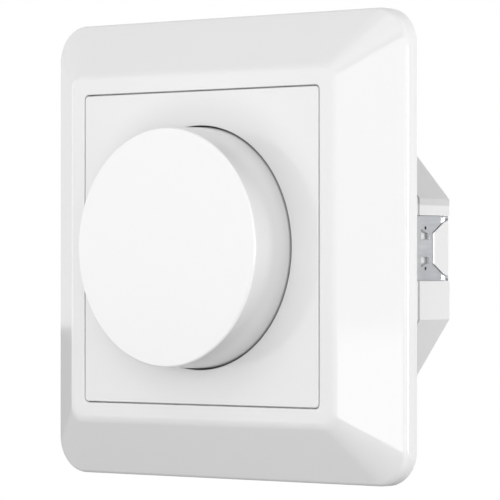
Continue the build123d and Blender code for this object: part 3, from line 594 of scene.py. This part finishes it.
# %% A socket that can be used in sums
class Flow:
    """An output socket of a finish, for use in sums and as another node's input."""

    def __init__(self, finish, socket):
        self.finish = finish
        self.socket = socket

    def sum(self, operation, first, second):
        return self.finish.node("ShaderNodeMath", {"operation": operation}, {0: first, 1: second})

    def __add__(self, other):
        return self.sum("ADD", self, other)

    def __sub__(self, other):
        return self.sum("SUBTRACT", self, other)

    def __rsub__(self, other):
        return self.sum("SUBTRACT", other, self)

    def __mul__(self, other):
        return self.sum("MULTIPLY", self, other)

    def __truediv__(self, other):
        return self.sum("DIVIDE", self, other)

    def __pow__(self, other):
        return self.sum("POWER", self, other)

    def __gt__(self, other):
        return self.sum("GREATER_THAN", self, other)

    def __abs__(self):
        return self.sum("ABSOLUTE", self, 0.0)

    def ramp(self, start, end):
        """Goes softly from 0 at the start to 1 at the end."""
        return self.finish.node(
            "ShaderNodeMapRange",
            {"interpolation_type": "SMOOTHSTEP"},
            {"Value": self, "From Min": start, "From Max": end},
        )

    __radd__ = __add__
    __rmul__ = __mul__


# %% A finish and its nodes
class Finish:
    """A material in the making."""

    def __init__(self, name):
        self.material = bpy.data.materials.new(name)
        self.material.use_nodes = True
        self.tree = self.material.node_tree
        self.tree.nodes.clear()

    def node(self, kind, settings=None, inputs=None, output=0):
        """Adds a node and returns one of its outputs. Its settings go in before its inputs."""
        made = self.tree.nodes.new(kind)
        for key, value in (settings or {}).items():
            setattr(made, key, value)
        for key, value in (inputs or {}).items():
            if isinstance(value, Flow):
                self.tree.links.new(value.socket, made.inputs[key])
            else:
                made.inputs[key].default_value = value
        return Flow(self, made.outputs[output]) if made.outputs else None

    def place(self, stretch):
        """Object coordinates, stretched for a pattern."""
        where = self.node("ShaderNodeTexCoord", output="Object")
        return self.node("ShaderNodeMapping", {}, {"Vector": where, "Scale": stretch})

    def spot(self):
        """Where a point lies on the piece, in millimetres: x, height above the wall, and z."""
        where = {"Vector": self.place((1 / MM, -1 / MM, 1 / MM))}
        return [self.node("ShaderNodeSeparateXYZ", {}, where, output=part) for part in range(3)]

    def noise(self, size, stretch=(1, 1, 1), detail=2.0):
        """Noise from 0 to 1 with blotches of about this size, in millimetres."""
        return self.node(
            "ShaderNodeTexNoise",
            {},
            {"Vector": self.place(stretch), "Scale": 1 / (size * MM), "Detail": detail},
        )

    def blend(self, amount, first, second):
        """Colour between two colours."""
        colours = [tone if isinstance(tone, Flow) else (*tone, 1) for tone in (first, second)]
        return self.node(
            "ShaderNodeMix",
            {"data_type": "RGBA"},
            {0: amount, 6: colours[0], 7: colours[1]},
            output=2,
        )

    def bump(self, height, strength, depth):
        """Bent normal from a height, whose full range is this deep in millimetres."""
        return self.node(
            "ShaderNodeBump", {}, {"Height": height, "Strength": strength, "Distance": depth * MM}
        )

    def done(self, **sockets):
        """Closes the finish with a Principled shader. Socket names have _ for a space."""
        inputs = {key.replace("_", " "): value for key, value in sockets.items()}
        shader = self.node("ShaderNodeBsdfPrincipled", {}, inputs)
        self.node("ShaderNodeOutputMaterial", {}, {"Surface": shader})
        print("finish", self.material.name, "nodes", len(self.tree.nodes))
        return self.material


# %% [markdown]
# ## White mouldings
# The frame, plate and knob are the same kind of plastic, moulded in polished tools. What makes such
# a white look real is small: a colour that drifts by under one percent across the surface, a gloss
# that varies a little, and a very fine grain that softens reflections. White plastic throws light
# back and forth in the narrow gap round the knob until the gap is nearly as bright as the front. So
# the gap's shade is painted: a mask from the place on the piece darkens the knob's colour there,
# and the gap reads as a dark line. The seam round the plate is a real gap that needs no mask.
# Fainter masks of the same kind paint more shade into the colour: a ring of the plate round the
# knob, darkest above it, the knob's side, darker again at its foot and with its top left out, and
# the housing's upper slanted sides. Heights and distances below are in millimetres, and ramps of z
# over radius run from the side to the top.

# %% Where shade is painted into the white
# Painted shade in the knob's gap: where it starts and is full, how much, and its dark tone.
GAP_SHADE_START = FRAME_HEIGHT + 0.35
GAP_SHADE_FULL = FRAME_HEIGHT - 0.15
GAP_SHADE_AMOUNT = 0.55
GAP_SHADE_TONE = 0.2
# Painted shade of the knob on the plate: the ring's width, its least share, and how it runs round.
RING_WIDTH = 9.0
RING_LEAST = 0.25
RING_SIDE = -0.4
# Painted shade on the knob's side: where it starts, how it fades and returns at the foot, and the
# top it spares.
SIDE_START = KNOB_FRONT - 0.15
SIDE_FULL = KNOB_FRONT - 0.5
SIDE_AMOUNT = 0.9
FADING_START = KNOB_FRONT - 0.8
FADING_END = KNOB_FRONT - 5.0
FOOT_START = FRAME_HEIGHT + 3.6
FADING_AMOUNT = 0.45
KNOB_TOP_START = 0.75
# Painted shade on the housing's upper slanted sides: the slope's direction and where the shade
# starts.
SLANT_ACROSS = 0.734
SLANT_UP = 0.679
SLANT_START = 24.55
SLANT_FULL = 24.75
HOUSING_LEAN = 0.021


def knob_gap_painted_shade(x, height, z):
    """Painted shade in the knob's gap: the part of the knob's side that stands in the well."""
    outside = (x * x + z * z) ** 0.5 > KNOB_R - KNOB_WALL
    return height.ramp(GAP_SHADE_START, GAP_SHADE_FULL) * outside * GAP_SHADE_AMOUNT


def plate_painted_shade(x, height, z):
    """Painted shade of the knob on the plate: a soft ring round the knob, strongest above it."""
    radius = (x * x + z * z) ** 0.5
    above = (z / radius).ramp(RING_SIDE, 1.0)
    return radius.ramp(WELL_R + RING_WIDTH, WELL_R) * (RING_LEAST + above * (1 - RING_LEAST))


def knob_painted_shade(x, height, z):
    """Painted shade on the knob's side, behind the face's rounding. It fades, and returns at the
    foot.
    """
    fading = height.ramp(FADING_START, FADING_END)
    returning = height.ramp(FOOT_START, FRAME_HEIGHT)
    on_top = (z / (x * x + z * z) ** 0.5).ramp(KNOB_TOP_START, 1.0)
    start = height.ramp(SIDE_START, SIDE_FULL)
    amount = SIDE_AMOUNT - fading * FADING_AMOUNT + returning * FADING_AMOUNT
    return start * amount * (1 - on_top)


def housing_painted_shade(x, height, z):
    """Painted shade on the housing's upper slanted sides; the walls lean in a little to the rear.
    """
    slope = abs(x) * SLANT_ACROSS + z * SLANT_UP - height * HOUSING_LEAN
    return slope.ramp(SLANT_START, SLANT_FULL)


# %% White plastic
DRIFT_SIZE = 28.0
DRIFT_SHARES = (0.992, 0.992, 0.99)
FLOW_SIZE = 6.0
FLOW_STRETCH = (1, 1, 0.4)
FLOW_GLOSS = 0.03
GRAIN_SIZE = 0.35
GRAIN_GLOSS = 0.02
GRAIN_STRENGTH = 0.35
PLASTIC_IOR = 1.5


def white_moulding(name, white, gloss, grain_depth, gap_painted_shade=None, painted_shade=None, painted_shade_tone=1.0):
    """Plain white plastic. gloss is its roughness, grain_depth its texture in millimetres."""
    finish = Finish(name)
    drift = finish.noise(DRIFT_SIZE)
    flow = finish.noise(FLOW_SIZE, stretch=FLOW_STRETCH)
    grain = finish.noise(GRAIN_SIZE, detail=3.0)
    colour = finish.blend(drift, [white] * 3, [white * share for share in DRIFT_SHARES])
    # Painted shade: a fainter mask by place darkens the colour.
    if painted_shade is not None:
        colour = finish.blend(painted_shade(*finish.spot()), colour, [painted_shade_tone] * 3)
    # Painted shade in the knob's gap: the colour goes down to a dark tone.
    if gap_painted_shade is not None:
        colour = finish.blend(gap_painted_shade(*finish.spot()), colour, [GAP_SHADE_TONE] * 3)
    return finish.done(
        Base_Color=colour,
        Roughness=gloss + (flow - 0.5) * FLOW_GLOSS + (grain - 0.5) * GRAIN_GLOSS,
        IOR=PLASTIC_IOR,
        Normal=finish.bump(grain, GRAIN_STRENGTH, grain_depth),
    )


WHITE_FRAME = white_moulding("white frame plastic", white=0.85, gloss=0.06, grain_depth=0.0015)
# The plate, the knob and the housing get painted shade in their colour.
WHITE_PLATE = white_moulding(
    "white plate plastic",
    white=0.85,
    gloss=0.1,
    grain_depth=0.002,
    painted_shade=plate_painted_shade,
    painted_shade_tone=0.71,
)
WHITE_KNOB = white_moulding(
    "white knob plastic",
    white=0.94,
    gloss=0.1,
    grain_depth=0.002,
    gap_painted_shade=knob_gap_painted_shade,
    painted_shade=knob_painted_shade,
    painted_shade_tone=0.7,
)
WHITE_HOUSING = white_moulding(
    "white housing plastic",
    white=0.83,
    gloss=0.3,
    grain_depth=0.008,
    painted_shade=housing_painted_shade,
    painted_shade_tone=0.65,
)

# %% [markdown]
# ## Metals
# The bracket and plate are zinc-plated sheet. Rolling leaves long faint lines along the strip, and
# the plating has a cool cloudy tone. Turned, nickelled and copper pieces differ only in tone, in
# the size of their marks and in how these are drawn out, so one function makes them all.

# %% Metals
ROLLED = (1.0, 0.12, 1.0)
TURNED = (1.0, 3.0, 1.0)
CLOUD_PER_MARK = 9.0
MARK_GLOSS = 0.16
CLOUD_GLOSS = 0.1
MARK_STRENGTH = 0.5


def metal(name, dark, light, roughness, mark, stretch, depth):
    """Metal whose tone, roughness and relief follow marks of this size, drawn out this way."""
    finish = Finish(name)
    marks = finish.noise(mark, stretch, detail=4.0)
    cloud = finish.noise(mark * CLOUD_PER_MARK)
    return finish.done(
        Base_Color=finish.blend(marks * 0.5 + cloud * 0.5, dark, light),
        Metallic=1.0,
        Roughness=roughness + (marks - 0.5) * MARK_GLOSS + (cloud - 0.5) * CLOUD_GLOSS,
        Normal=finish.bump(marks, MARK_STRENGTH, depth),
    )


ZINC = metal("zinc plating", (0.47, 0.48, 0.5), (0.53, 0.54, 0.56), 0.2, 0.5, ROLLED, 0.003)
SPRING_STEEL = metal("spring steel", (0.4, 0.4, 0.42), (0.55, 0.55, 0.57), 0.25, 0.3, ROLLED, 0.003)
SPINDLE_STEEL = metal(
    "turned steel", (0.55, 0.55, 0.56), (0.7, 0.7, 0.71), 0.22, 0.25, TURNED, 0.004
)
NICKEL = metal("nickelled brass", (0.62, 0.59, 0.5), (0.78, 0.75, 0.66), 0.24, 0.3, TURNED, 0.004)
BRASS = metal("stamped brass", (0.7, 0.5, 0.22), (0.84, 0.64, 0.34), 0.3, 0.4, ROLLED, 0.004)
ALUMINIUM = metal("aluminium", (0.62, 0.63, 0.65), (0.75, 0.76, 0.78), 0.34, 0.4, ROLLED, 0.005)
COPPER = metal("enamelled copper", (0.55, 0.2, 0.07), (0.76, 0.36, 0.16), 0.28, 0.3, TURNED, 0.004)

# %% [markdown]
# ## Inner plastics, board and parts
# These only show through the vents and the wire holes, or when the pieces are taken apart, but each
# still has its own tone. The board has lighter green tracks under its lacquer, from a threshold on
# a stretched noise, and the fuse is clear glass.

# %% Inner finishes
GRAINS_PER_BLOTCH = 8.0
DULL_GLOSS = 0.12
DULL_STRENGTH = 0.4
TRACK_THRESHOLD = 0.52


def dull(name, dark, light, roughness, mark, depth):
    """Moulded, sintered or dipped surface with soft blotches."""
    finish = Finish(name)
    blotch = finish.noise(mark, detail=3.0)
    grain = finish.noise(mark / GRAINS_PER_BLOTCH)
    return finish.done(
        Base_Color=finish.blend(blotch, dark, light),
        Roughness=roughness + (grain - 0.5) * DULL_GLOSS,
        Normal=finish.bump(grain, DULL_STRENGTH, depth),
    )


def board_lacquer():
    """Green lacquer over copper tracks."""
    finish = Finish("green lacquer")
    tracks = finish.noise(3.0, stretch=(1, 1, 0.15), detail=0.0) > TRACK_THRESHOLD
    weave = finish.noise(0.4, stretch=(0.2, 1, 1), detail=1.0)
    return finish.done(
        Base_Color=finish.blend(tracks, (0.02, 0.16, 0.06), (0.05, 0.3, 0.1)),
        Roughness=0.3 + weave * 0.1,
        Normal=finish.bump(tracks * 0.8 + weave * 0.2, 0.5, 0.03),
    )


def clear_glass():
    """Glass tube of a fuse, with faint ripples from drawing."""
    finish = Finish("fuse glass")
    ripple = finish.noise(1.5, stretch=(0.1, 1, 1), detail=1.0)
    return finish.done(
        Base_Color=(0.92, 0.95, 0.94, 1),
        Roughness=0.04 + ripple * 0.03,
        Transmission_Weight=1.0,
        IOR=1.47,
        Normal=finish.bump(ripple, 0.3, 0.02),
    )


BLACK = dull("black plastic", (0.02, 0.02, 0.02), (0.045, 0.045, 0.045), 0.45, 2.0, 0.01)
NYLON = dull("natural nylon", (0.72, 0.7, 0.63), (0.82, 0.8, 0.74), 0.45, 3.0, 0.01)
TRACK = dull("carbon track", (0.05, 0.035, 0.025), (0.2, 0.11, 0.05), 0.5, 1.2, 0.01)
FERRITE = dull("ferrite", (0.05, 0.05, 0.055), (0.1, 0.1, 0.105), 0.6, 1.0, 0.03)
YELLOW = dull("capacitor case", (0.62, 0.46, 0.06), (0.78, 0.62, 0.14), 0.4, 2.5, 0.01)
SLEEVE = dull("can sleeve", (0.03, 0.03, 0.05), (0.08, 0.08, 0.11), 0.28, 2.0, 0.005)
BLUE = dull("dipped coating", (0.03, 0.12, 0.36), (0.08, 0.24, 0.55), 0.35, 1.6, 0.03)
LACQUER = board_lacquer()
GLASS = clear_glass()

# %% [markdown]
# ## Finishes on pieces
# A new piece takes its finish, rides on the body that carries it and stands for the solid that it
# replaces. A solid that stays gets its finish in its own material slot.


def install(piece, finish, node, body):
    """Dresses a new piece and lets it stand for a CAD node, on that node's body."""
    piece.data.materials.clear()
    piece.data.materials.append(finish)
    for face in piece.data.polygons:
        face.material_index = 0
    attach(piece, body)
    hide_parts(node)


install(cover, WHITE_FRAME, "cover_frame", "insert")
install(plate, WHITE_PLATE, "centre_plate", "insert")
install(knob, WHITE_KNOB, "knob", "knob_and_spindle")
install(rear_shell, WHITE_HOUSING, "housing_rear", "insert")
install(front_shell, WHITE_HOUSING, "housing_front", "insert")
install(bracket, ZINC, "retaining_bracket", "insert")
install(sheet_plate, ZINC, "support_plate", "insert")

# %% [markdown]
# The switch's coil spring gets shorter when the knob is pushed. Its front end follows the plunger
# and its rear end stays in the switch case. A copy of it is made, and the share of its length that
# is left at the plunger's full travel is worked out.

# %% Switch spring
spring = merged_copy("switch_spring", "switch_spring_coil")
settle(spring)
install(spring, SPRING_STEEL, "switch_spring", "insert")
spring_front, spring_rear = (corner[1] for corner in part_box("switch_spring"))
press = next(joint for joint in frame["joints"] if joint["name"] == "plunger_press")
travel = press["range_m"][1]
spring_keep = 1 - travel / (spring_rear - spring_front)
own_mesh(spring)
print("spring keeps", round(spring_keep, 3), "from", spring_front, "to", spring_rear)

# %% Give the carried-over solids their finish
CARRIED = {
    ZINC: ("bush_washer", "terminal_cages", "terminal_screws"),
    SPRING_STEEL: ("knob_spring_ring", "spindle_clip"),
    SPINDLE_STEEL: ("spindle",),
    NICKEL: ("threaded_bush", "bush_nut", "centre_plate_nut", "fuse_caps"),
    BRASS: ("pot_wiper", "contact_bridge", "fixed_contacts"),
    ALUMINIUM: ("bracket_rivets", "heat_spreader"),
    COPPER: ("choke_winding",),
    BLACK: ("pot_case", "switch_case", "power_transistors", "control_chip"),
    NYLON: ("pot_rotor", "switch_plunger"),
    TRACK: ("pot_track",),
    FERRITE: ("choke_core",),
    YELLOW: ("film_capacitor",),
    SLEEVE: ("smoothing_capacitor",),
    BLUE: ("varistor",),
    LACQUER: ("circuit_board",),
    GLASS: ("fuse_tube",),
}
for finish, names in CARRIED.items():
    for name in names:
        for material_slot in nodes[name].material_slots:
            material_slot.material = finish
print("carried-over solids", sum(len(names) for names in CARRIED.values()))

# %% [markdown]
# ## Camera
# The photograph was taken from the right, at the height of the knob, with a long lens: the upright
# edges stay upright and the right edge of the frame is only a tenth taller than the left. Azimuth,
# elevation, distance and lens below were solved from corners measured in the picture. Distances are
# in metres here, and the focal length is in pixels of a picture with this side.

# %% Camera
AZIMUTH = math.radians(41.15)
ELEVATION = math.radians(-0.49)
DISTANCE = 0.6486
AIM = Vector((0.00317, 0, -0.00036))
PICTURE_SIDE = 500
FOCAL_PIXELS = 3567.0
SENSOR = 36.0
CLIP_START = 0.01
towards_camera = Vector(
    (
        math.sin(AZIMUTH) * math.cos(ELEVATION),
        -math.cos(AZIMUTH) * math.cos(ELEVATION),
        math.sin(ELEVATION),
    )
)
camera_data = bpy.data.cameras.new("camera")
camera_data.sensor_width = SENSOR
camera_data.lens = FOCAL_PIXELS / PICTURE_SIDE * SENSOR
camera_data.clip_start = CLIP_START
camera = bpy.data.objects.new("camera", camera_data)
camera.location = AIM + towards_camera * DISTANCE
camera.rotation_euler = (-towards_camera).to_track_quat("-Z", "Y").to_euler()
bpy.context.scene.collection.objects.link(camera)
bpy.context.scene.camera = camera
bpy.context.scene.view_settings.view_transform = "Standard"
print("lens mm", round(camera_data.lens, 1), "at", [round(v, 3) for v in camera.location])

# %% [markdown]
# ## Light
# The picture is high-key: a white surround, and a little more light from the right than from the
# left and from above than from below. Large area lamps give the soft falloff, and their mirror
# images are what separates the bevels. The world lights all sides softly at the level of AMBIENT.
# To the camera, in reflections and through glass it is pure white. Each row below is a lamp's name,
# its place, its side and its power, in metres and watts.

# %% Lamps
def lamp(name, position, size, power):
    """Square area lamp at this position in metres, facing the knob."""
    data = bpy.data.lights.new(name, "AREA")
    data.shape = "SQUARE"
    data.size = size
    data.energy = power
    made = bpy.data.objects.new(name, data)
    made.location = position
    made.rotation_euler = (-Vector(position)).to_track_quat("-Z", "Y").to_euler()
    bpy.context.scene.collection.objects.link(made)


LAMPS = {
    "front right": ((0.50, -0.70, 0.0), 0.6, 2.2),
    "right": ((0.85, -0.20, 0.0), 0.4, 0.9),
    "low right": ((0.45, -0.65, -0.10), 0.15, 0.14),
    "right behind": ((0.88, 0.47, -0.03), 0.25, 3.8),
    "front": ((0.0, -0.95, 0.05), 0.6, 1.62),
    "front left": ((-0.60, -0.65, 0.05), 0.7, 1.35),
    "left": ((-0.90, -0.10, 0.10), 0.4, 0.55),
    "above front": ((0.10, -0.65, 0.70), 0.6, 0.95),
}
for name, (position, size, power) in LAMPS.items():
    lamp(name, position, size, power)
print("lamps", len(LAMPS))

# %% World
AMBIENT = 0.41
world = bpy.data.worlds.new("white surround")
bpy.context.scene.world = world
world.use_nodes = True
world_tree = world.node_tree
world_tree.nodes.clear()
rays = world_tree.nodes.new("ShaderNodeLightPath")
shown = world_tree.nodes.new("ShaderNodeMath")
shown.operation = "MAXIMUM"
world_tree.links.new(rays.outputs["Is Camera Ray"], shown.inputs[0])
world_tree.links.new(rays.outputs["Is Glossy Ray"], shown.inputs[1])
whitened = world_tree.nodes.new("ShaderNodeMath")
whitened.operation = "MAXIMUM"
world_tree.links.new(shown.outputs[0], whitened.inputs[0])
world_tree.links.new(rays.outputs["Is Transmission Ray"], whitened.inputs[1])
level = world_tree.nodes.new("ShaderNodeMath")
level.operation = "MULTIPLY_ADD"
level.inputs[1].default_value = 1.0 - AMBIENT
level.inputs[2].default_value = AMBIENT
world_tree.links.new(whitened.outputs[0], level.inputs[0])
surround = world_tree.nodes.new("ShaderNodeBackground")
surround.inputs["Color"].default_value = (1, 1, 1, 1)
world_tree.links.new(level.outputs[0], surround.inputs["Strength"])
world_out = world_tree.nodes.new("ShaderNodeOutputWorld")
world_tree.links.new(surround.outputs[0], world_out.inputs["Surface"])
print("world nodes", len(world_tree.nodes))

# %% [markdown]
# ## Floor
# The dimmer hangs on a wall, so nothing touches the floor. It lies about twelve centimetres below
# the frame, plain and matt, and takes the object's soft shadow. It is mid grey near the object,
# gets paler further away, and fades to the white surround, so that no horizon shows. Sizes are in
# metres.

# %% Floor
NEAR_TONE = 0.55
FAR_TONE = 0.95
FLOOR_DROP = 0.118
FLOOR_SIZE = 19.8
FADE_START = 0.35
FADE_LENGTH = 0.9
take()
bpy.ops.mesh.primitive_plane_add(size=FLOOR_SIZE, location=(0, 0, cad_low[2] - FLOOR_DROP))
floor = bpy.context.object
floor.name = "floor"
floor_finish = Finish("pale floor")
floor_place = floor_finish.node("ShaderNodeTexCoord", output="Object")
reach = floor_finish.node(
    "ShaderNodeVectorMath", {"operation": "LENGTH"}, {0: floor_place}, output="Value"
)
fade = reach.ramp(FADE_START, FADE_START + FADE_LENGTH)
floor_rays = floor_finish.node("ShaderNodeLightPath", output="Is Camera Ray")
paper = floor_finish.blend(fade, [NEAR_TONE] * 3, [FAR_TONE] * 3)
cloth = floor_finish.node("ShaderNodeBsdfDiffuse", {}, {"Color": paper})
glow = floor_finish.node("ShaderNodeEmission", {}, {"Color": (1, 1, 1, 1), "Strength": 1.0})
mixed = floor_finish.node("ShaderNodeMixShader", {}, {0: fade * floor_rays, 1: cloth, 2: glow})
floor_finish.node("ShaderNodeOutputMaterial", {}, {"Surface": mixed})
floor.data.materials.append(floor_finish.material)
print("floor at", round(floor.location.z, 4))
